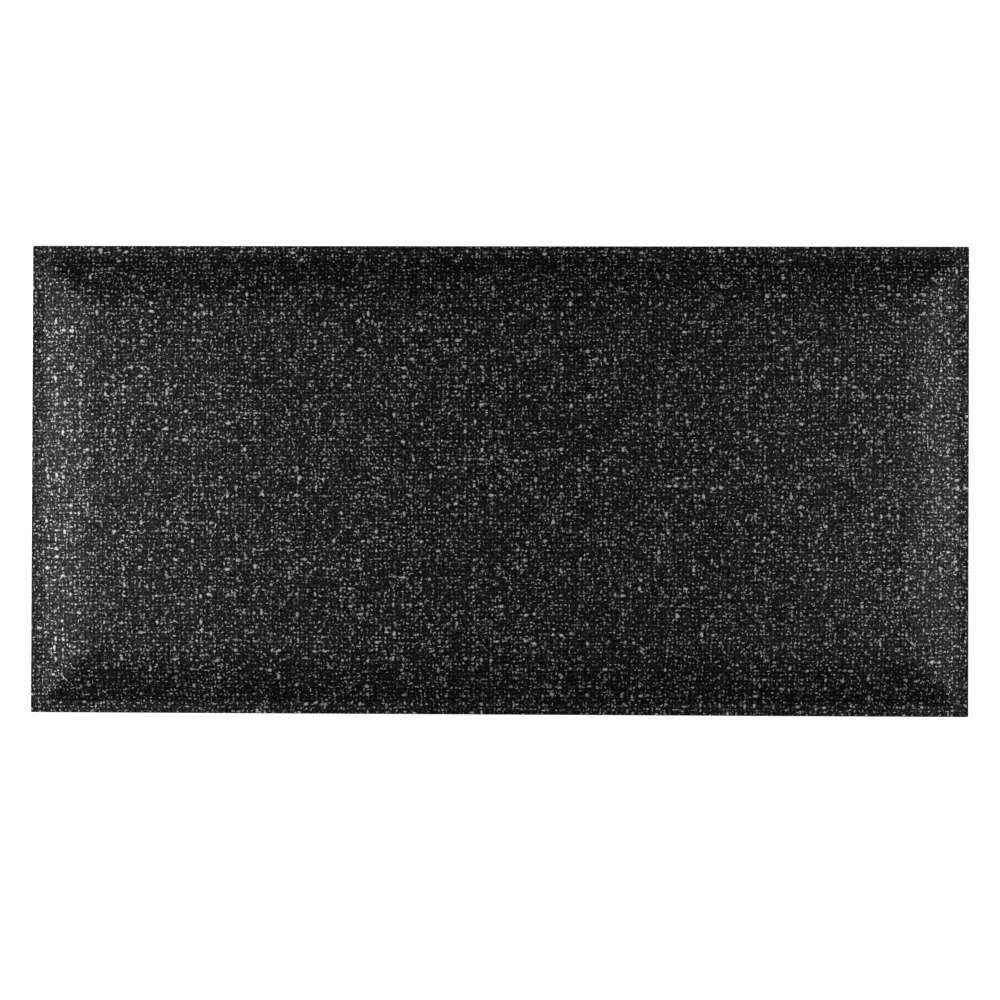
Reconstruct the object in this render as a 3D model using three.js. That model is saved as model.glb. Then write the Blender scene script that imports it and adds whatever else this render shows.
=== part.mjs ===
// Standing mat for a work desk: a soft cushion mat with a bevelled edge all round.
//
// The mat is a laminate of four sheets. A rubbery base sheet lies on the floor. On it sits a firm
// support foam, on that a softer comfort foam, and an embossed vinyl skin is formed over both and
// welded to the base sheet along a flat rim. All four share one family of outlines: rounded
// rectangles that step inwards from the mat's outer edge, so every corner of the bevel is mitred.
//
// Millimetres. X runs along the length, Y across the width, +Z up. The origin is on the floor
// under the middle of the mat.

import * as THREE from 'three';

// ---- driving dimensions ----

const matLength = 914.4;            // outer edge to outer edge, X (36 in)
const matWidth = 457.2;             // outer edge to outer edge, Y (18 in)
const cornerRadius = 1.5;           // die-cut corner of the rim and of every outline inside it

const baseThickness = 1.6;          // non-slip base sheet
const supportFoamThickness = 9.4;   // firm lower foam, under the flat of the mat
const comfortFoamThickness = 6.2;   // soft upper foam, under the flat of the mat
const skinThickness = 1.2;          // embossed vinyl, measured straight down
const glueLine = 0.2;               // film of glue, or of weld, between any two layers

const rimWidth = 12.7;              // flat welded rim, measured in from the outer edge
const bevelRun = 54;                // from the inner edge of the rim to the flat of the mat
const bevelFullness = 2;            // 1 is a straight slope, more bulges it above the straight line
const foamEdgeHeight = 1.5;         // blunt outer edge of the support foam

// ---- smoothness of the solids ----

const cornerSteps = 3;              // straight pieces in each rounded corner
const bevelSteps = 8;               // straight pieces in the bevel's curve

// ---- heights that follow from the layers ----

const supportBottom = baseThickness + glueLine;
const supportTop = supportBottom + supportFoamThickness;
const comfortBottom = supportTop + glueLine;
const comfortTop = comfortBottom + comfortFoamThickness;
const skinUnderside = comfortTop + glueLine;
const matTop = skinUnderside + skinThickness;
const rimUnderside = baseThickness + glueLine;
const rimTop = rimUnderside + skinThickness;
const foamBelowSkinTop = skinThickness + glueLine;

// ---- the bevel ----

// Height of the skin's top face at a share of the way up the bevel, 0 at the rim, 1 at the flat.
function bevelHeight(share) {
  const fall = Math.pow(1 - share, bevelFullness);
  return rimTop + (matTop - rimTop) * (1 - fall);
}

// The share of the way up the bevel at which the skin's top face has a given height.
function bevelShare(height) {
  const fall = (matTop - height) / (matTop - rimTop);
  return 1 - Math.pow(Math.max(fall, 0), 1 / bevelFullness);
}

// Points [inset from the outer edge, height] along the bevel between two shares of the way up,
// a given depth below the skin's top face.
function bevelCurve(fromShare, toShare, depth) {
  const steps = Math.max(2, Math.ceil(Math.abs(toShare - fromShare) * bevelSteps));
  const points = [];
  for (let i = 0; i <= steps; i++) {
    const share = fromShare + (toShare - fromShare) * i / steps;
    points.push([rimWidth + bevelRun * share, bevelHeight(share) - depth]);
  }
  return points;
}

// ---- solids stepped inwards from the mat's outline ----

// The mat's outline a given inset from its outer edge, as a counter-clockwise ring of points.
function outline(inset) {
  const halfLength = matLength / 2 - inset;
  const halfWidth = matWidth / 2 - inset;
  const shape = new THREE.Shape();
  shape.absarc(halfLength - cornerRadius, halfWidth - cornerRadius, cornerRadius, 0, Math.PI / 2);
  shape.absarc(cornerRadius - halfLength, halfWidth - cornerRadius, cornerRadius,
    Math.PI / 2, Math.PI);
  shape.absarc(cornerRadius - halfLength, cornerRadius - halfWidth, cornerRadius,
    Math.PI, Math.PI * 3 / 2);
  shape.absarc(halfLength - cornerRadius, cornerRadius - halfWidth, cornerRadius,
    Math.PI * 3 / 2, Math.PI * 2);
  const ring = [];
  for (const arc of shape.curves.filter((curve) => curve.type === 'EllipseCurve')) {
    ring.push(...arc.getPoints(cornerSteps));
  }
  return ring;
}

// A closed solid whose wall runs through a list of [inset, height] points. The first and the last
// point are each closed by a flat face, the first facing down where the wall then runs outwards.
function steppedSolid(profile) {
  const rings = profile.map(([inset]) => outline(inset));
  const count = rings[0].length;
  const positions = [];
  profile.forEach(([, height], level) => {
    rings[level].forEach((point) => positions.push(point.x, point.y, height));
  });
  const triangles = [];
  for (let level = 0; level + 1 < profile.length; level++) {
    for (let i = 0; i < count; i++) {
      const here = level * count + i;
      const next = level * count + (i + 1) % count;
      triangles.push(here, next, next + count, here, next + count, here + count);
    }
  }
  const lastRing = (profile.length - 1) * count;
  for (const [a, b, c] of THREE.ShapeUtils.triangulateShape(rings[0], [])) {
    triangles.push(a, c, b);
  }
  for (const [a, b, c] of THREE.ShapeUtils.triangulateShape(rings[profile.length - 1], [])) {
    triangles.push(lastRing + a, lastRing + b, lastRing + c);
  }
  const geometry = new THREE.BufferGeometry();
  geometry.setAttribute('position', new THREE.Float32BufferAttribute(positions, 3));
  geometry.setIndex(triangles);
  geometry.computeVertexNormals();
  return geometry;
}

// ---- the four sheets ----

// Non-slip base sheet: full size, flat on the floor.
function baseSheet() {
  return steppedSolid([[0, 0], [0, baseThickness]]);
}

// Firm support foam: flat below, its edge cut to the bevel, ending in a blunt lip.
function supportFoam() {
  const lip = bevelShare(supportBottom + foamEdgeHeight + foamBelowSkinTop);
  const top = bevelShare(supportTop + foamBelowSkinTop);
  const slope = bevelCurve(lip, top, foamBelowSkinTop);
  return steppedSolid([[slope[0][0], supportBottom], ...slope]);
}

// Soft comfort foam: carries the bevel on from the support foam up to the flat of the mat.
function comfortFoam() {
  const bottom = bevelShare(comfortBottom + foamBelowSkinTop);
  return steppedSolid(bevelCurve(bottom, 1, foamBelowSkinTop));
}

// Vinyl skin: a shallow open tray turned upside down over the foam, with a flat rim outside it.
function skin() {
  const underside = bevelCurve(1, 0, skinThickness);
  const topside = bevelCurve(0, 1, 0);
  return steppedSolid([...underside, [0, rimUnderside], [0, rimTop], ...topside]);
}

// ---- materials and assembly ----

const vinyl = new THREE.MeshStandardMaterial({ color: 0x2b2b2b, roughness: 0.55, metalness: 0 });
const softFoam = new THREE.MeshStandardMaterial({ color: 0x9a9a96, roughness: 0.95, metalness: 0 });
const firmFoam = new THREE.MeshStandardMaterial({ color: 0x3a3b3d, roughness: 0.95, metalness: 0 });
const rubber = new THREE.MeshStandardMaterial({ color: 0x161616, roughness: 0.8, metalness: 0 });

function addSheet(group, name, geometry, material) {
  const mesh = new THREE.Mesh(geometry, material);
  mesh.name = name;
  group.add(mesh);
}

const group = new THREE.Group();
addSheet(group, 'base_sheet', baseSheet(), rubber);
addSheet(group, 'support_foam', supportFoam(), firmFoam);
addSheet(group, 'comfort_foam', comfortFoam(), softFoam);
addSheet(group, 'top_skin', skin(), vinyl);

export default group;
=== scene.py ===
"""Anti fatigue mat: an embossed vinyl skin over two foams, welded to a rubber base sheet."""

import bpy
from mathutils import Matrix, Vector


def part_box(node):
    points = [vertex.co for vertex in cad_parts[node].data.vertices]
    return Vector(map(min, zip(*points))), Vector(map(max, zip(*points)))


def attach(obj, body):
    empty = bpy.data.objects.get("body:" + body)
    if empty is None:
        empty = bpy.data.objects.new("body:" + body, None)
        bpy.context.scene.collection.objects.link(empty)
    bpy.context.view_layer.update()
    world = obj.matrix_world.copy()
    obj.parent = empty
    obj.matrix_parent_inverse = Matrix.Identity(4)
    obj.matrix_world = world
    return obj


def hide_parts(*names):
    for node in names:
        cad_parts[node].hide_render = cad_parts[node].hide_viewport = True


bl_info = {
    "name": "Anti Fatigue Mat",
    "version": (1, 0, 0),
    "blender": (4, 5, 0),
    "location": "3D View > Sidebar > Mat",
    "description": "Makes a bevelled standing mat with a tweed embossed skin",
    "category": "Add Mesh",
}

import math

import bmesh
import bpy
import numpy as np
from mathutils import Vector

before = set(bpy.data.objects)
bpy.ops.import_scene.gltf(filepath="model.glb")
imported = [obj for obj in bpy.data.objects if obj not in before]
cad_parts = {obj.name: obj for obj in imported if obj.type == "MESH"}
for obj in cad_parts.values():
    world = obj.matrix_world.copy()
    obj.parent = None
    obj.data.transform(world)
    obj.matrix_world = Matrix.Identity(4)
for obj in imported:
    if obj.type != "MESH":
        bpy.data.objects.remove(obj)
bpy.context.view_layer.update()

MM = 0.001
BODY = "root"

# Sizes that the frame's boxes don't give, in millimetres.
RIM_WIDTH = 12.7
BEVEL_RUN = 54.0
SKIN_THICKNESS = 1.2
GLUE_LINE = 0.2
CORNER_RADIUS = 1.5
MITRE_EASE = 14.0       # how unlike the insets from two edges are where their bevels stop blending
CREASE_WIDTH = 1.2      # half width of the pressed line between the rim and the bevel
CROWN_SPAN = 170.0      # size of the slow swells in the flat of the mat
FOAM_FACET = 4.0        # spacing of the points on the foams
LINING_FACET = 4.5      # spacing of the points on the skin's inner face
LEAST_EDGE = 0.3        # least thickness left at a layer's edge
SWELL_ROOM = 0.2        # how far a slub may stand above the mat's nominal top
PIP_RADIUS = 1.6
PIP_TIP_RADIUS = 1.1
PIP_MARGIN = 3.0        # from the base sheet's edge to the first pips
PIP_OVERLAP = 0.15      # how far a pip reaches into the sheet

BEVEL_FULLNESS = 2.0    # 1 is a straight bevel, more is steeper at the rim and rounder at the top
CREASE_EASE = 0.1       # share of the bevel over which it starts from the rim
CREASE_DEPTH = 0.15     # depth of the pressed line, in reliefs


# ---- node trees ----


class Wire:
    """A value in a node tree. Arithmetic on wires and numbers adds Math nodes to the tree."""

    def __init__(self, tree, socket):
        self.tree = tree
        self.socket = socket

    def math(self, operation, *others, clamp=False):
        node = self.tree.nodes.new("ShaderNodeMath")
        node.operation = operation
        node.use_clamp = clamp
        for slot, value in zip(node.inputs, (self, *others)):
            plug(self.tree, value, slot)
        return Wire(self.tree, node.outputs[0])

    def flipped(self, operation, first):
        node = self.tree.nodes.new("ShaderNodeMath")
        node.operation = operation
        plug(self.tree, first, node.inputs[0])
        plug(self.tree, self, node.inputs[1])
        return Wire(self.tree, node.outputs[0])

    def __add__(self, other):
        return self.math("ADD", other)

    __radd__ = __add__

    def __mul__(self, other):
        return self.math("MULTIPLY", other)

    __rmul__ = __mul__

    def __sub__(self, other):
        return self.math("SUBTRACT", other)

    def __rsub__(self, other):
        return self.flipped("SUBTRACT", other)

    def __truediv__(self, other):
        return self.math("DIVIDE", other)

    def __rtruediv__(self, other):
        return self.flipped("DIVIDE", other)

    def __pow__(self, other):
        return self.math("POWER", other)

    def __lt__(self, other):
        return self.math("LESS_THAN", other)

    def __abs__(self):
        return self.math("ABSOLUTE")

    def floor(self):
        return self.math("FLOOR")

    def fraction(self):
        return self.math("FRACT")

    def at_least(self, other):
        return self.math("MAXIMUM", other)

    def at_most(self, other):
        return self.math("MINIMUM", other)


def plug(tree, value, socket):
    """Links a wire or an output socket to a socket, or sets the socket to a plain value."""
    if isinstance(value, Wire):
        tree.links.new(value.socket, socket)
    elif isinstance(value, bpy.types.NodeSocket):
        tree.links.new(value, socket)
    else:
        socket.default_value = value


def add_node(tree, kind, settings=None, values=None):
    """Adds a node, makes its settings, then sets or links its sockets by name or by place."""
    node = tree.nodes.new(kind)
    for name, value in (settings or {}).items():
        setattr(node, name, value)
    for key, value in (values or {}).items():
        plug(tree, value, node.inputs[key])
    return node


def parted(tree, vector):
    """The three parts of a vector or a colour, as wires."""
    node = add_node(tree, "ShaderNodeSeparateXYZ", values={0: vector})
    return [Wire(tree, output) for output in node.outputs]


def joined(tree, x, y, z):
    """A vector made of three wires or numbers."""
    return add_node(tree, "ShaderNodeCombineXYZ", values={0: x, 1: y, 2: z}).outputs[0]


def draws(tree, column, row, seed):
    """Three random numbers from 0 to 1 that belong to one cell of a lattice."""
    cell = joined(tree, column, row, seed)
    noise = add_node(tree, "ShaderNodeTexWhiteNoise", {"noise_dimensions": "3D"}, {"Vector": cell})
    return parted(tree, noise.outputs["Color"])


def clouds(tree, x, y, grain, seed, detail=0.0):
    """Three smooth noises about 0, whose lumps are a grain of millimetres across."""
    place = joined(tree, x / grain, y / grain, seed)
    noise = add_node(
        tree,
        "ShaderNodeTexNoise",
        {"noise_dimensions": "3D"},
        {"Vector": place, "Scale": 1.0, "Detail": detail},
    )
    return [part - 0.5 for part in parted(tree, noise.outputs["Color"])]


def between(draw, low, high):
    """A random number from 0 to 1, stretched to run from low to high."""
    return low + draw * (high - low)


def shifted(draw, room):
    """A random number from 0 to 1, stretched to run over a room that is centred on 0."""
    return (draw - 0.5) * room


def smooth_step(value, low, high):
    """0 below low, 1 above high, and an S curve between them."""
    share = ((value - low) / (high - low)).math("ADD", 0.0, clamp=True)
    return share * share * (3.0 - 2.0 * share)


# ---- the tweed ----

# Millimetres.
WARP_PITCH = 4.26       # between the threads that run along Y
WEFT_PITCH = 4.42       # between the threads that run along X
SLOW_WANDER = 35.0      # over which whole threads drift off line
QUICK_WANDER = 8.0      # over which single threads bend
RAGGED_EDGE = 1.45      # between the nicks in a knot's outline
FIBRE_CURL = 2.9        # across a loop of a loose fibre
FIBRE_PATCH = 24.0      # across a patch of loose fibres
FINE_UNEVEN = 2.0       # across the lighter and darker bits of a knot
BROAD_UNEVEN = 17.0     # across the lighter and darker areas of the tweed
BEAD_PITCH = 2.9        # between the low beads in the gaps

# Shares of a cell of the lattice that the knots stand on.
SLOW_DRIFT = 0.87
QUICK_DRIFT = 0.27
RAGGED_DRIFT = 0.38
KNOT_ROOM = 0.44        # over which a knot's middle may lie
SLUB_ROOM = 0.3
FILL_ROOM = 0.52

DOME_FULLNESS = 0.6     # 1 is a soft hump, less is a flatter top with steeper sides
SLUB_CHANCE = 0.305
SLUB_WIDE_CHANCE = 0.35
SLUB_TALL_CHANCE = 0.35
FILL_CHANCE = 0.573
FILL_DENSITY = 1.49     # low knots for each thread
FIBRE_HEIGHT = 0.12
BEAD_DISORDER = 0.8     # 0 puts the beads in rows, 1 scatters them
BEAD_REACH = 0.55       # radius of a bead, in bead pitches


def dome(across, along, half_across, half_along):
    """A rounded bump over an ellipse, 1 at its middle and 0 outside it."""
    across_share = across / half_across
    along_share = along / half_along
    inside = 1.0 - across_share * across_share - along_share * along_share
    return inside.at_least(0.0) ** DOME_FULLNESS


def cell_of(column_place, row_place):
    """The lattice cell that a place is in, and the place in the cell, from its middle."""
    column = column_place.floor()
    row = row_place.floor()
    return column, row, column_place - column - 0.5, row_place - row - 0.5


def thread_knots(tree, across, along):
    """The top of each thread where it crosses over another, along X and along Y in turn."""
    column, row, dx, dy = cell_of(across, along)
    length_draw, x_draw, y_draw = draws(tree, column, row, 1.0)
    width_draw, height_draw, _ = draws(tree, column, row, 2.0)
    long_half = between(length_draw, 0.235, 0.435)
    short_half = between(width_draw, 0.105, 0.155)
    runs_along_x = ((column + row) * 0.5).fraction() * 2.0
    half_x = short_half + (long_half - short_half) * runs_along_x
    half_y = long_half + (short_half - long_half) * runs_along_x
    off_x = shifted(x_draw, KNOT_ROOM)
    off_y = shifted(y_draw, KNOT_ROOM)

    # Each thread has a height of its own, and the warp stands a little lower.
    warp_weight = 0.82 * between(draws(tree, column, 3.0, 7.0)[0], 0.87, 1.13)
    weft_weight = between(draws(tree, 8.0, row, 8.0)[0], 0.87, 1.13)
    weight = warp_weight * (1.0 - runs_along_x) + weft_weight * runs_along_x
    height = between(height_draw ** 2.7, 0.28, 1.14) * weight
    return dome(dx - off_x, dy - off_y, half_x, half_y) * height


def slubs(tree, across, along):
    """The thick lumps of yarn that stand out here and there, long, wide or round."""
    column, row, dx, dy = cell_of(across * 0.5 + 0.25, along * 0.5 + 0.25)
    kind_draw, x_draw, y_draw = draws(tree, column, row, 3.0)
    keep_draw, size_draw, height_draw = draws(tree, column, row, 4.0)
    size = between(size_draw, 0.75, 1.15)
    wide = kind_draw < SLUB_WIDE_CHANCE
    tall = (kind_draw < SLUB_WIDE_CHANCE + SLUB_TALL_CHANCE) - wide
    half_x = between(wide, 0.175, 0.295) * size
    half_y = between(tall, 0.175, 0.295) * size
    off_x = shifted(x_draw, SLUB_ROOM)
    off_y = shifted(y_draw, SLUB_ROOM)
    height = (keep_draw < SLUB_CHANCE) * between(height_draw, 0.32, 0.85)
    return dome(dx - off_x, dy - off_y, half_x, half_y) * height


def fill_knots(tree, across, along):
    """The small low knots that fill the gaps between the threads' tops."""
    column, row, dx, dy = cell_of(across * FILL_DENSITY + 0.37, along * FILL_DENSITY + 0.61)
    keep_draw, x_draw, y_draw = draws(tree, column, row, 5.0)
    size_draw, height_draw, _ = draws(tree, column, row, 6.0)
    half = between(size_draw, 0.192, 0.426)
    off_x = shifted(x_draw, FILL_ROOM)
    off_y = shifted(y_draw, FILL_ROOM)
    height = (keep_draw < FILL_CHANCE) * between(height_draw ** 1.5, 0.036, 0.736)
    return dome(dx - off_x, dy - off_y, half, half) * height


def loose_fibres(tree, x, y):
    """Thin low strands that curl between the knots, in patches."""
    curl = clouds(tree, x, y, FIBRE_CURL, 21.0)[0]
    patch = smooth_step(clouds(tree, x, y, FIBRE_PATCH, 22.0)[1], -0.06, 0.14)
    strand = (1.0 - abs(curl) / 0.075).at_least(0.0)
    return strand ** 0.7 * patch * FIBRE_HEIGHT


def ground_beads(tree, x, y):
    """The low rounded beads pressed into the vinyl everywhere under the yarn, 0 to 1."""
    cells = add_node(
        tree, "ShaderNodeTexVoronoi", {"voronoi_dimensions": "2D", "feature": "F1"},
        {"Vector": joined(tree, x / BEAD_PITCH, y / BEAD_PITCH, 0.0), "Scale": 1.0,
         "Randomness": BEAD_DISORDER},
    )
    reach = Wire(tree, cells.outputs["Distance"]) / BEAD_REACH
    tallness = between(parted(tree, cells.outputs["Color"])[0], 0.35, 1.0)
    return (1.0 - reach * reach).at_least(0.0) ** DOME_FULLNESS * tallness


def tweed_height(tree, x, y):
    """Height of the tweed at a place in millimetres: 0 in the gaps, about 1 on the tallest slub."""
    slow = clouds(tree, x, y, SLOW_WANDER, 11.0)
    quick = clouds(tree, x, y, QUICK_WANDER, 12.0)
    ragged = clouds(tree, x, y, RAGGED_EDGE, 13.0)
    drift_x, drift_y = (
        slow[way] * SLOW_DRIFT + quick[way] * QUICK_DRIFT + ragged[way] * RAGGED_DRIFT
        for way in (0, 1)
    )
    across = x / WARP_PITCH + drift_x
    along = y / WEFT_PITCH + drift_y
    knots = thread_knots(tree, across, along).at_least(fill_knots(tree, across, along))
    yarn = knots.at_least(slubs(tree, across, along))
    uneven = 0.82 - 0.62 * clouds(tree, x, y, FINE_UNEVEN, 14.0)[2]
    uneven = uneven * (1.0 + 0.34 * clouds(tree, x, y, BROAD_UNEVEN, 15.0)[2])
    return yarn.at_least(loose_fibres(tree, x, y)) * uneven


# ---- sizes and colours that a user would change ----

skin_low, skin_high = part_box("top_skin")
base_low, base_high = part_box("base_sheet")


def length_value(label, note, default):
    return bpy.props.FloatProperty(
        name=label, description=note, default=default, min=0.0, precision=4,
        unit="LENGTH", subtype="DISTANCE",
    )


def tint_value(label, note, default):
    return bpy.props.FloatVectorProperty(
        name=label, description=note, default=default, min=0.0, max=1.0, size=3,
        subtype="COLOR",
    )


class MatSizes(bpy.types.PropertyGroup):
    length: length_value("Length", "Outer edge to outer edge, along X", skin_high.x - skin_low.x)
    width: length_value("Width", "Outer edge to outer edge, along Y", skin_high.y - skin_low.y)
    top: length_value("Top", "Height of the flat of the mat above the floor", skin_high.z)
    rim_underside: length_value("Rim Underside", "Height of the skin's underside at the rim",
                                skin_low.z)
    rim_width: length_value("Rim Width", "Flat welded rim, from the outer edge", RIM_WIDTH * MM)
    bevel_run: length_value("Bevel Run", "From the rim to the flat of the mat", BEVEL_RUN * MM)
    skin: length_value("Skin", "Thickness of the vinyl skin", SKIN_THICKNESS * MM)
    relief: length_value("Relief", "How far the tallest yarn stands above the gaps", 0.7 * MM)
    facet: length_value("Facet", "Size of one facet of the embossed face", 1.06 * MM)
    pip_pitch: length_value("Pip Pitch", "Spacing of the grip pips under the base", 9.0 * MM)
    pip_height: length_value("Pip Height", "How far the grip pips stand down", 0.45 * MM)


class MatColours(bpy.types.PropertyGroup):
    ground: tint_value("Ground", "Vinyl between the low beads", (0.0042, 0.0042, 0.0042))
    # Bead tint: a painted highlight on the low beads' tops.
    beads: tint_value("Beads", "Tops of the low beads in the gaps", (0.02, 0.02, 0.02))
    # Yarn tint: partly the print on the raised yarn, partly a painted highlight on it.
    yarn: tint_value("Yarn", "Vinyl on top of the embossed yarn", (0.42, 0.42, 0.42))
    soft_foam: tint_value("Soft Foam", "Comfort foam", (0.42, 0.42, 0.40))
    firm_foam: tint_value("Firm Foam", "Support foam", (0.045, 0.046, 0.05))
    rubber: tint_value("Rubber", "Base sheet", (0.012, 0.012, 0.012))
    floor: tint_value("Floor", "Studio floor", (0.25, 0.25, 0.25))


# ---- materials ----


def new_material(name):
    """A material with a fresh Principled shader, its tree and the shader node."""
    material = bpy.data.materials.new(name)
    material.use_nodes = True
    tree = material.node_tree
    tree.nodes.clear()
    shader = tree.nodes.new("ShaderNodeBsdfPrincipled")
    output = tree.nodes.new("ShaderNodeOutputMaterial")
    tree.links.new(shader.outputs[0], output.inputs["Surface"])
    return material, tree, shader


def object_place(tree):
    """The shaded point's place on the object, as three wires in millimetres."""
    place = add_node(tree, "ShaderNodeTexCoord").outputs["Object"]
    return [part * 1000.0 for part in parted(tree, place)]


def tint_mix(tree, share, first, second):
    """A colour between two colours, by a wire from 0 to 1."""
    mix = add_node(tree, "ShaderNodeMix", {"data_type": "RGBA"}, {"Factor": share})
    for place, tint in ((6, first), (7, second)):
        plug(tree, tint if isinstance(tint, bpy.types.NodeSocket) else (*tint, 1.0),
             mix.inputs[place])
    return mix.outputs[2]


def bumped(tree, height, distance, strength=1.0):
    """A normal bumped by a height from 0 to 1 that stands for a distance in metres."""
    bump = add_node(
        tree, "ShaderNodeBump", values={"Height": height, "Distance": distance, "Strength": strength}
    )
    return bump.outputs[0]


def embossed_vinyl(colours):
    """Black vinyl whose raised yarn is grey, partly print and partly painted highlight, more so on
    the taller knots.
    """
    material, tree, shader = new_material("embossed vinyl")
    x, y, _ = object_place(tree)
    height = tweed_height(tree, x, y)
    # The yarn's grey is partly print and partly a painted highlight, lighter on the taller knots.
    print_and_highlight_share = smooth_step(height, 0.03, 0.73)
    worn = clouds(tree, x, y, 60.0, 31.0)[0]
    print_and_highlight_share = print_and_highlight_share * (1.0 + 0.25 * worn)
    # The low beads' tops are painted lighter than the ground, a painted highlight rather than print.
    beads = ground_beads(tree, x, y)
    ground = tint_mix(tree, beads, colours.ground, colours.beads)
    plug(tree, tint_mix(tree, print_and_highlight_share, ground, colours.yarn), shader.inputs["Base Color"])
    plug(tree, 0.46 + 0.24 * print_and_highlight_share, shader.inputs["Roughness"])
    plug(tree, 0.62 - 0.24 * print_and_highlight_share, shader.inputs["Metallic"])
    grain = clouds(tree, x, y, 0.45, 33.0, detail=2.0)[0]
    plug(tree, bumped(tree, beads + grain * 0.3, 0.15 * MM), shader.inputs["Normal"])
    shader.inputs["Specular IOR Level"].default_value = 0.03
    shader.inputs["Specular Tint"].default_value = (0.25, 0.25, 0.25, 1.0)
    return material


def cut_vinyl():
    """The die-cut edge and the plain back of the skin."""
    material, tree, shader = new_material("cut vinyl")
    x, y, z = object_place(tree)
    speckle = clouds(tree, x + z, y + z, 0.9, 41.0, detail=2.0)[0] + 0.5
    plug(tree, tint_mix(tree, speckle, (0.008, 0.008, 0.008), (0.03, 0.03, 0.03)),
         shader.inputs["Base Color"])
    plug(tree, 0.5 + 0.25 * speckle, shader.inputs["Roughness"])
    plug(tree, bumped(tree, speckle, 0.1 * MM), shader.inputs["Normal"])
    return material


def foam(name, tint, pore):
    """Cut foam: a matt surface full of pores of a size in millimetres, with painted shade darkening
    the pores' hollows.
    """
    material, tree, shader = new_material(name)
    x, y, z = object_place(tree)
    cells = add_node(
        tree, "ShaderNodeTexVoronoi", {"feature": "SMOOTH_F1"},
        {"Vector": joined(tree, x / pore, y / pore, z / pore), "Scale": 1.0, "Smoothness": 0.4},
    )
    depth = Wire(tree, cells.outputs["Distance"])
    # Painted shade: the pores' hollows are coloured with a darkened copy of the foam tint.
    painted_pore_shade = smooth_step(depth, 0.1, 0.75)
    mottle = clouds(tree, x, y, 38.0, 51.0)[0]
    pore_shade_tint = tuple(part * 0.42 for part in tint)
    plug(tree, tint_mix(tree, (painted_pore_shade + 0.4 * mottle).math("ADD", 0.0, clamp=True), pore_shade_tint, tint),
         shader.inputs["Base Color"])
    plug(tree, 0.96 - 0.1 * painted_pore_shade, shader.inputs["Roughness"])
    plug(tree, bumped(tree, depth, 0.35 * MM), shader.inputs["Normal"])
    return material


def grip_rubber(tint):
    """Matt rubber with a fine cast grain and a little dust."""
    material, tree, shader = new_material("grip rubber")
    x, y, _ = object_place(tree)
    grain = clouds(tree, x, y, 0.8, 61.0, detail=3.0)[0] + 0.5
    dust = smooth_step(clouds(tree, x, y, 45.0, 62.0, detail=2.0)[1], -0.05, 0.3)
    dusty = tuple(part * 2.6 for part in tint)
    plug(tree, tint_mix(tree, 0.7 * dust + 0.3 * grain, tint, dusty), shader.inputs["Base Color"])
    plug(tree, 0.72 + 0.16 * dust, shader.inputs["Roughness"])
    plug(tree, bumped(tree, grain, 0.12 * MM), shader.inputs["Normal"])
    return material


# ---- the layers' shared shape ----


def smooth_least(first, second, softness):
    """The smaller of two wires, blended where they are within a softness of each other."""
    return first.math("SMOOTH_MIN", second, softness)


def add_input(group, name, kind, value=None):
    """Adds a named input to a node group."""
    socket = group.interface.new_socket(name, in_out="INPUT", socket_type=kind)
    if value is not None:
        socket.default_value = value


def rounded(x, y, half_x, half_y, radius):
    """A point of a rectangle, pulled in where it is past the arc of a rounded corner."""
    straight_x = half_x - radius
    straight_y = half_y - radius
    past_x = (abs(x) - straight_x).at_least(0.0)
    past_y = (abs(y) - straight_y).at_least(0.0)
    reach = (past_x * past_x + past_y * past_y).math("SQRT").at_least(1e-9)
    pull = (radius / reach).at_most(1.0)
    round_x = (abs(x).at_most(straight_x) + past_x * pull) * x.math("SIGN")
    round_y = (abs(y).at_most(straight_y) + past_y * pull) * y.math("SIGN")
    return round_x, round_y


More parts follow.
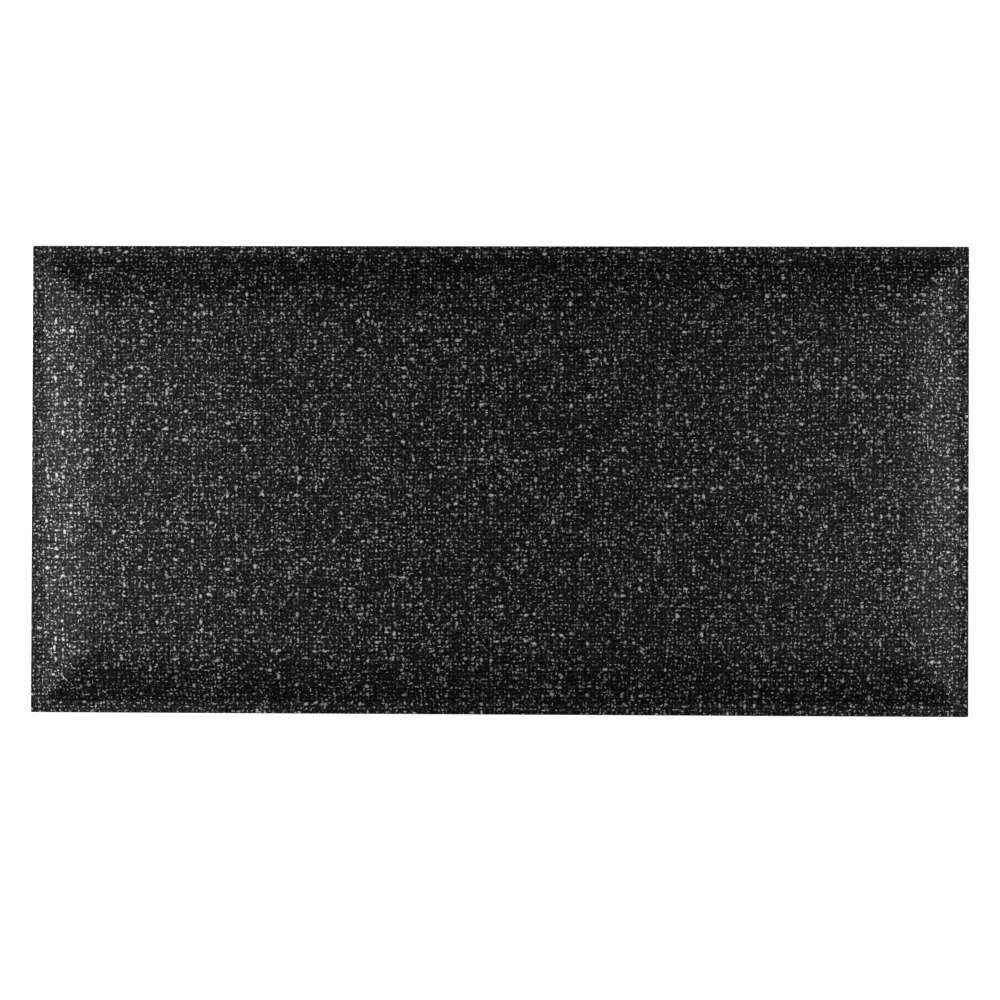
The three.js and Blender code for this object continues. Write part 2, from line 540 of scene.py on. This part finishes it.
def layer_tree(name, embossed):
    """A node group that makes one layer's upper face: a fine grid raised into a bevelled mat.

    The grid is shaped in metres. Its height follows the inset from the mat's outer edge, and is
    lowered by a depth, held between a floor and a ceiling, and roughened by a relief.
    """
    group = bpy.data.node_groups.new(name, "GeometryNodeTree")
    for label in ("Length", "Width", "Edge Inset", "Rim Width", "Bevel Run", "Rim Top",
                  "Mat Top", "Depth", "Floor", "Ceiling", "Relief"):
        add_input(group, label, "NodeSocketFloat", 0.0)
    add_input(group, "Fullness", "NodeSocketFloat", BEVEL_FULLNESS)
    add_input(group, "Columns", "NodeSocketInt", 10)
    add_input(group, "Rows", "NodeSocketInt", 10)
    add_input(group, "Material", "NodeSocketMaterial")
    group.interface.new_socket("Geometry", in_out="OUTPUT", socket_type="NodeSocketGeometry")
    given = {s.name: Wire(group, s) for s in group.nodes.new("NodeGroupInput").outputs}
    edge = given["Edge Inset"]
    grid = add_node(
        group, "GeometryNodeMeshGrid",
        values={
            "Size X": given["Length"] - edge * 2.0,
            "Size Y": given["Width"] - edge * 2.0,
            "Vertices X": given["Columns"],
            "Vertices Y": given["Rows"],
        },
    )
    x, y, _ = parted(group, group.nodes.new("GeometryNodeInputPosition").outputs[0])

    round_x, round_y = rounded(
        x, y, given["Length"] * 0.5 - edge, given["Width"] * 0.5 - edge, CORNER_RADIUS * MM
    )

    # Raise it by how far each point is inside the mat's outer edge.
    inset_x = given["Length"] * 0.5 - abs(round_x)
    inset_y = given["Width"] * 0.5 - abs(round_y)
    inset = smooth_least(inset_x, inset_y, MITRE_EASE * MM)
    share = ((inset - given["Rim Width"]) / given["Bevel Run"]).at_most(1.0)
    share = share.math("SMOOTH_MAX", 0.0, CREASE_EASE)
    rise = 1.0 - (1.0 - share) ** given["Fullness"]
    height = given["Rim Top"] + (given["Mat Top"] - given["Rim Top"]) * rise - given["Depth"]
    x_mm = round_x * 1000.0
    y_mm = round_y * 1000.0
    if embossed:
        crease_place = (inset - given["Rim Width"]) / (CREASE_WIDTH * MM)
        crease = (0.0 - crease_place * crease_place).math("EXPONENT")
        sag = clouds(group, x_mm, y_mm, CROWN_SPAN, 71.0)[0]
        texture = tweed_height(group, x_mm, y_mm) - 1.0 - CREASE_DEPTH * crease + rise * (sag - 0.3)
    else:
        texture = clouds(group, x_mm, y_mm, 11.0, 72.0, detail=1.0)[0] - 0.5
    raised = (height + texture * given["Relief"]).at_least(given["Floor"])
    raised = raised.at_most(given["Ceiling"])
    placed = add_node(
        group, "GeometryNodeSetPosition",
        values={"Geometry": grid.outputs["Mesh"],
                "Position": joined(group, round_x, round_y, raised)},
    )
    smooth = add_node(group, "GeometryNodeSetShadeSmooth", values={0: placed.outputs[0]})
    real = add_node(group, "GeometryNodeRealizeInstances", values={0: smooth.outputs[0]})
    coated = add_node(
        group, "GeometryNodeSetMaterial",
        values={"Geometry": real.outputs[0], "Material": given["Material"]},
    )
    output = group.nodes.new("NodeGroupOutput")
    group.links.new(coated.outputs[0], output.inputs[0])
    return group


def grown(name, group, values):
    """The plain mesh that a node group makes with the given named inputs."""
    source = bpy.data.objects.new(name + " source", bpy.data.meshes.new(name))
    bpy.context.scene.collection.objects.link(source)
    modifier = source.modifiers.new(group.name, "NODES")
    modifier.node_group = group
    sockets = {s.name: s.identifier for s in group.interface.items_tree if s.in_out == "INPUT"}
    for label, value in values.items():
        modifier[sockets[label]] = value
    source.update_tag()
    graph = bpy.context.evaluated_depsgraph_get()
    mesh = bpy.data.meshes.new_from_object(source.evaluated_get(graph), depsgraph=graph)
    mesh.name = name
    bpy.data.objects.remove(source)
    return mesh


def skin_underside(sizes, spacing):
    """The skin's inner face within its rim, as a coarse grid's points, columns and rows."""
    half_x = sizes.length / 2 - sizes.rim_width
    half_y = sizes.width / 2 - sizes.rim_width
    columns = round(2 * half_x / spacing) + 1
    rows = round(2 * half_y / spacing) + 1
    x, y = np.meshgrid(
        np.linspace(-half_x, half_x, columns), np.linspace(-half_y, half_y, rows), indexing="ij"
    )
    inset_x = sizes.length / 2 - np.abs(x)
    inset_y = sizes.width / 2 - np.abs(y)
    ease = MITRE_EASE * MM
    near = np.maximum(ease - np.abs(inset_x - inset_y), 0.0) / ease
    inset = np.minimum(inset_x, inset_y) - near ** 3 * ease / 6
    share = np.clip((inset - sizes.rim_width) / sizes.bevel_run, 0.0, 1.0)
    rise = 1 - (1 - share) ** BEVEL_FULLNESS
    z = sizes.rim_underside + (sizes.top - sizes.skin - sizes.rim_underside) * rise
    return np.stack([x, y, z], axis=-1).reshape(-1, 3), columns, rows


def edge_loop(columns, rows):
    """The grid's outer points, counter-clockwise from its lowest corner, and its corners' places."""
    lower = [i * rows for i in range(columns)]
    right = [(columns - 1) * rows + j for j in range(1, rows)]
    upper = [i * rows + rows - 1 for i in range(columns - 2, -1, -1)]
    left = list(range(rows - 2, 0, -1))
    corners = [0, columns - 1, columns + rows - 2, 2 * columns + rows - 3]
    return lower + right + upper + left, corners


def side_of(loop, corners, side):
    """The part of a closed loop from one corner to the next, with both corners."""
    stop = corners[side + 1] if side < 3 else len(loop)
    return [loop[i % len(loop)] for i in range(corners[side], stop + 1)]


def closed(mesh, columns, rows, wall_foot, underside=None):
    """Turns an open grid into a closed layer: a wall down to a foot height, then an underside.

    Without an underside's grid of points, columns and rows, the layer's back is one flat face.
    """
    loop, corners = edge_loop(columns, rows)
    count = len(mesh.vertices)
    places = np.zeros(count * 3, np.float32)
    mesh.vertices.foreach_get("co", places)
    added = places.reshape(-1, 3)[loop].copy()
    added[:, 2] = wall_foot
    around = len(loop)
    foot = [count + i for i in range(around)]
    faces = []
    for i in range(around):
        after = (i + 1) % around
        faces.append([loop[i], foot[i], foot[after], loop[after]])
    if underside is None:
        faces.append(foot[::-1])
    else:
        points, inner_columns, inner_rows = underside
        added = np.vstack([added, points])
        first = count + around
        ring, ring_corners = edge_loop(inner_columns, inner_rows)
        ring = [first + i for i in ring]
        for side in range(4):
            outer = side_of(foot, corners, side)
            inner = side_of(ring, ring_corners, side)
            faces.append([*inner, *outer[::-1]])
        for i in range(inner_columns - 1):
            for j in range(inner_rows - 1):
                here = first + i * inner_rows + j
                faces.append([here, here + 1, here + inner_rows + 1, here + inner_rows])
    append_faces(mesh, added, faces)


def append_faces(mesh, added, faces):
    """Adds points and flat faces to a mesh, in its second material."""
    first_point = len(mesh.vertices)
    first_face = len(mesh.polygons)
    first_corner = len(mesh.loops)
    mesh.vertices.add(len(added))
    for i, place in enumerate(added):
        mesh.vertices[first_point + i].co = place
    corners = np.concatenate([np.array(face) for face in faces])
    mesh.loops.add(len(corners))
    whole = np.zeros(len(mesh.loops), np.int32)
    mesh.loops.foreach_get("vertex_index", whole)
    whole[first_corner:] = corners
    mesh.loops.foreach_set("vertex_index", whole)
    mesh.polygons.add(len(faces))
    starts = np.zeros(len(mesh.polygons), np.int32)
    mesh.polygons.foreach_get("loop_start", starts)
    sizes = np.array([len(face) for face in faces])
    starts[first_face:] = first_corner + np.concatenate([[0], np.cumsum(sizes)[:-1]])
    mesh.polygons.foreach_set("loop_start", starts)
    mesh.update(calc_edges=True)
    smooth = np.ones(len(mesh.polygons), bool)
    smooth[first_face:] = False
    mesh.polygons.foreach_set("use_smooth", smooth)
    slots = np.zeros(len(mesh.polygons), np.int32)
    slots[first_face:] = 1
    mesh.polygons.foreach_set("material_index", slots)
    mesh.update()


def shown(name, mesh, materials, node):
    """Puts a finished mesh in the scene as the piece that stands for a CAD node."""
    mesh.materials.clear()
    for material in materials:
        mesh.materials.append(material)
    piece = bpy.data.objects.new(name, mesh)
    bpy.context.scene.collection.objects.link(piece)
    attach(piece, BODY)
    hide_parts(node)
    return piece


def layer_values(sizes, **own):
    """The named inputs that every layer's node group shares, and one layer's own."""
    values = {
        "Length": sizes.length,
        "Width": sizes.width,
        "Rim Width": sizes.rim_width,
        "Bevel Run": sizes.bevel_run,
        "Rim Top": sizes.rim_underside + sizes.skin,
        "Mat Top": sizes.top,
    }
    values.update(own)
    return values


# ---- operators ----


class MAT_OT_top_skin(bpy.types.Operator):
    """Make the embossed vinyl skin with its bevel and its flat rim"""

    bl_idname = "mat.top_skin"
    bl_label = "Top Skin"

    def execute(self, context):
        sizes = context.scene.mat_sizes
        group = layer_tree("embossed skin", embossed=True)
        material = embossed_vinyl(context.scene.mat_colours)
        columns = round(sizes.length / sizes.facet) + 1
        rows = round(sizes.width / sizes.facet) + 1
        values = layer_values(
            sizes, **{"Edge Inset": 0.0, "Depth": 0.0, "Floor": sizes.rim_underside + LEAST_EDGE * MM,
                      "Ceiling": sizes.top + SWELL_ROOM * MM, "Relief": sizes.relief,
                      "Columns": columns, "Rows": rows, "Material": material},
        )
        mesh = grown("top_skin_embossed", group, values)
        closed(mesh, columns, rows, sizes.rim_underside, skin_underside(sizes, LINING_FACET * MM))
        piece = shown("top_skin_embossed", mesh, [material, cut_vinyl()],
                      "top_skin")
        return {"FINISHED"}


class MAT_OT_foams(bpy.types.Operator):
    """Make the soft comfort foam and the firm support foam inside the skin"""

    bl_idname = "mat.foams"
    bl_label = "Foams"

    def execute(self, context):
        sizes = context.scene.mat_sizes
        colours = context.scene.mat_colours
        group = layer_tree("foam layer", embossed=False)
        layers = [
            ("comfort_foam", "soft_foam", foam("soft foam", colours.soft_foam, 0.9)),
            ("support_foam", "firm_foam", foam("firm foam", colours.firm_foam, 0.55)),
        ]
        for node, slot, material in layers:
            low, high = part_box(node)
            edge = sizes.length / 2 - high.x
            columns = round((high.x - low.x) / (FOAM_FACET * MM)) + 1
            rows = round((high.y - low.y) / (FOAM_FACET * MM)) + 1
            values = layer_values(
                sizes, **{"Edge Inset": edge, "Depth": sizes.skin + GLUE_LINE * MM,
                          "Floor": low.z + LEAST_EDGE * MM, "Ceiling": high.z, "Relief": 0.25 * MM,
                          "Columns": columns, "Rows": rows, "Material": material},
            )
            mesh = grown(node + "_cut", group, values)
            closed(mesh, columns, rows, low.z)
            piece = shown(node + "_cut", mesh, [material, material], node)
        return {"FINISHED"}


def grip_tree():
    """A node group for the base sheet: a thin slab with rows of small pips under it."""
    group = bpy.data.node_groups.new("grip sheet", "GeometryNodeTree")
    for label in ("Length", "Width", "Low", "High", "Corner Radius", "Pip Pitch", "Pip Radius",
                  "Tip Radius", "Pip Margin"):
        add_input(group, label, "NodeSocketFloat", 0.0)
    add_input(group, "Columns", "NodeSocketInt", 10)
    add_input(group, "Rows", "NodeSocketInt", 10)
    add_input(group, "Material", "NodeSocketMaterial")
    group.interface.new_socket("Geometry", in_out="OUTPUT", socket_type="NodeSocketGeometry")
    given = {s.name: Wire(group, s) for s in group.nodes.new("NodeGroupInput").outputs}
    x, y, z = parted(group, group.nodes.new("GeometryNodeInputPosition").outputs[0])

    slab = add_node(
        group, "GeometryNodeMeshCube",
        values={
            "Size": joined(group, given["Length"], given["Width"], given["High"] - given["Low"]),
            "Vertices X": 61, "Vertices Y": 31, "Vertices Z": 2,
        },
    )
    round_x, round_y = rounded(
        x, y, given["Length"] * 0.5, given["Width"] * 0.5, given["Corner Radius"]
    )
    lifted = z + (given["Low"] + given["High"]) * 0.5
    laid = add_node(
        group, "GeometryNodeSetPosition",
        values={"Geometry": slab.outputs["Mesh"],
                "Position": joined(group, round_x, round_y, lifted)},
    )

    # Pips stand on a grid whose every other row is moved along by half a pitch.
    margin = given["Pip Margin"] * 2.0 + given["Pip Pitch"] * 0.5
    spots = add_node(
        group, "GeometryNodeMeshGrid",
        values={
            "Size X": given["Length"] - margin,
            "Size Y": given["Width"] - given["Pip Margin"] * 2.0,
            "Vertices X": given["Columns"],
            "Vertices Y": given["Rows"],
        },
    )
    index = Wire(group, group.nodes.new("GeometryNodeInputIndex").outputs[0])
    row = index.math("MODULO", given["Rows"])
    stagger = ((row * 0.5).fraction() - 0.25) * given["Pip Pitch"]
    moved = add_node(
        group, "GeometryNodeSetPosition",
        values={"Geometry": spots.outputs["Mesh"], "Offset": joined(group, stagger, 0.0, 0.0)},
    )
    pip = add_node(
        group, "GeometryNodeMeshCone", {"fill_type": "NGON"},
        {"Vertices": 8, "Side Segments": 1, "Fill Segments": 1,
         "Radius Top": given["Pip Radius"], "Radius Bottom": given["Tip Radius"],
         "Depth": given["Low"] + PIP_OVERLAP * MM},
    )
    pips = add_node(
        group, "GeometryNodeInstanceOnPoints",
        values={"Points": moved.outputs[0], "Instance": pip.outputs["Mesh"]},
    )
    together = add_node(group, "GeometryNodeJoinGeometry")
    group.links.new(pips.outputs[0], together.inputs[0])
    group.links.new(laid.outputs[0], together.inputs[0])
    real = add_node(group, "GeometryNodeRealizeInstances", values={0: together.outputs[0]})
    coated = add_node(
        group, "GeometryNodeSetMaterial",
        values={"Geometry": real.outputs[0], "Material": given["Material"]},
    )
    output = group.nodes.new("NodeGroupOutput")
    group.links.new(coated.outputs[0], output.inputs[0])
    return group


class MAT_OT_base_sheet(bpy.types.Operator):
    """Make the rubber base sheet with its grip pips"""

    bl_idname = "mat.base_sheet"
    bl_label = "Base Sheet"

    def execute(self, context):
        sizes = context.scene.mat_sizes
        material = grip_rubber(context.scene.mat_colours.rubber)
        margin = PIP_MARGIN * MM
        length = base_high.x - base_low.x
        width = base_high.y - base_low.y
        row_step = sizes.pip_pitch * math.sqrt(3) / 2
        mesh = grown("base_sheet_grip", grip_tree(), {
            "Length": length,
            "Width": width,
            "Low": sizes.pip_height,
            "High": base_high.z,
            "Corner Radius": CORNER_RADIUS * MM,
            "Pip Pitch": sizes.pip_pitch,
            "Pip Radius": PIP_RADIUS * MM,
            "Tip Radius": PIP_TIP_RADIUS * MM,
            "Pip Margin": margin,
            "Columns": round((length - 2 * margin) / sizes.pip_pitch),
            "Rows": round((width - 2 * margin) / row_step) + 1,
            "Material": material,
        })
        piece = shown("base_sheet_grip", mesh, [material], "base_sheet")
        return {"FINISHED"}


# ---- studio ----


def area_light(name, place, target, size_x, size_y, power):
    """A soft rectangular light at a place, turned to face a target."""
    data = bpy.data.lights.new(name, "AREA")
    data.shape = "RECTANGLE"
    data.size = size_x
    data.size_y = size_y
    data.energy = power
    light = bpy.data.objects.new(name, data)
    light.location = place
    aim = Vector(target) - Vector(place)
    light.rotation_euler = aim.to_track_quat("-Z", "Y").to_euler()
    light.visible_camera = False
    bpy.context.scene.collection.objects.link(light)


class MAT_OT_studio(bpy.types.Operator):
    """Set up the pale floor, the soft lights and the camera"""

    bl_idname = "mat.studio"
    bl_label = "Studio"

    def execute(self, context):
        scene = context.scene
        half_length = scene.mat_sizes.length / 2

        # Floor.
        material, _, shader = new_material("studio floor")
        shader.inputs["Base Color"].default_value = (*scene.mat_colours.floor, 1.0)
        shader.inputs["Roughness"].default_value = 0.9
        shader.inputs["Specular IOR Level"].default_value = 0.1
        shader.inputs["Emission Color"].default_value = (1.0, 1.0, 1.0, 1.0)
        shader.inputs["Emission Strength"].default_value = 1.0
        shape = bmesh.new()
        bmesh.ops.create_circle(shape, cap_ends=True, segments=96, radius=14.0)
        mesh = bpy.data.meshes.new("floor")
        shape.to_mesh(mesh)
        shape.free()
        mesh.materials.append(material)
        floor = bpy.data.objects.new("floor", mesh)
        scene.collection.objects.link(floor)

        # A soft box beyond each end of the mat.
        reach = half_length + 0.42
        area_light("left soft box", (-reach, 0.0, 0.42), (-0.1, 0.0, 0.0), 0.5, 1.2, 14.6)
        area_light("right soft box", (reach, 0.0, 0.42), (0.1, 0.0, 0.0), 0.5, 1.2, 9.6)

        # Dim all round for the object, white behind it.
        world = bpy.data.worlds.new("studio")
        world.use_nodes = True
        nodes = world.node_tree.nodes
        links = world.node_tree.links
        nodes.clear()
        output = nodes.new("ShaderNodeOutputWorld")
        mixed = nodes.new("ShaderNodeMixShader")
        dim = nodes.new("ShaderNodeBackground")
        bright = nodes.new("ShaderNodeBackground")
        path = nodes.new("ShaderNodeLightPath")
        dim.inputs["Color"].default_value = (0.03, 0.03, 0.03, 1.0)
        bright.inputs["Color"].default_value = (1.0, 1.0, 1.0, 1.0)
        links.new(path.outputs["Is Camera Ray"], mixed.inputs[0])
        links.new(dim.outputs[0], mixed.inputs[1])
        links.new(bright.outputs[0], mixed.inputs[2])
        links.new(mixed.outputs[0], output.inputs[0])
        scene.world = world
        scene.view_settings.view_transform = "Standard"
        scene.cycles.use_denoising = False

        # Camera above the mat, a little off square.
        data = bpy.data.cameras.new("camera")
        data.sensor_width = 36.0
        data.lens = 73.72
        data.clip_start = 0.05
        data.clip_end = 60.0
        camera = bpy.data.objects.new("camera", data)
        camera.location = (0.0392, -0.0326, 2.0001)
        camera.rotation_euler = [math.radians(turn) for turn in (0.386, 1.075, 0.202)]
        scene.collection.objects.link(camera)
        scene.camera = camera
        return {"FINISHED"}


# ---- panel and start ----


class MAT_PT_panel(bpy.types.Panel):
    bl_idname = "MAT_PT_panel"
    bl_label = "Anti Fatigue Mat"
    bl_space_type = "VIEW_3D"
    bl_region_type = "UI"
    bl_category = "Mat"

    def draw(self, context):
        layout = self.layout
        for operator in PIECE_OPERATORS:
            layout.operator(operator.bl_idname)
        for settings in (context.scene.mat_sizes, context.scene.mat_colours):
            box = layout.box()
            for name in settings.bl_rna.properties.keys():
                if name not in ("rna_type", "name"):
                    box.prop(settings, name)


PIECE_OPERATORS = (MAT_OT_top_skin, MAT_OT_foams, MAT_OT_base_sheet, MAT_OT_studio)
CLASSES = (MatSizes, MatColours, *PIECE_OPERATORS, MAT_PT_panel)


def register():
    for kind in CLASSES:
        bpy.utils.register_class(kind)
    bpy.types.Scene.mat_sizes = bpy.props.PointerProperty(type=MatSizes)
    bpy.types.Scene.mat_colours = bpy.props.PointerProperty(type=MatColours)


def unregister():
    del bpy.types.Scene.mat_colours
    del bpy.types.Scene.mat_sizes
    for kind in reversed(CLASSES):
        bpy.utils.unregister_class(kind)


def main():
    register()
    bpy.ops.mat.top_skin()
    bpy.ops.mat.foams()
    bpy.ops.mat.base_sheet()
    bpy.ops.mat.studio()


if __name__ == "__main__":
    main()
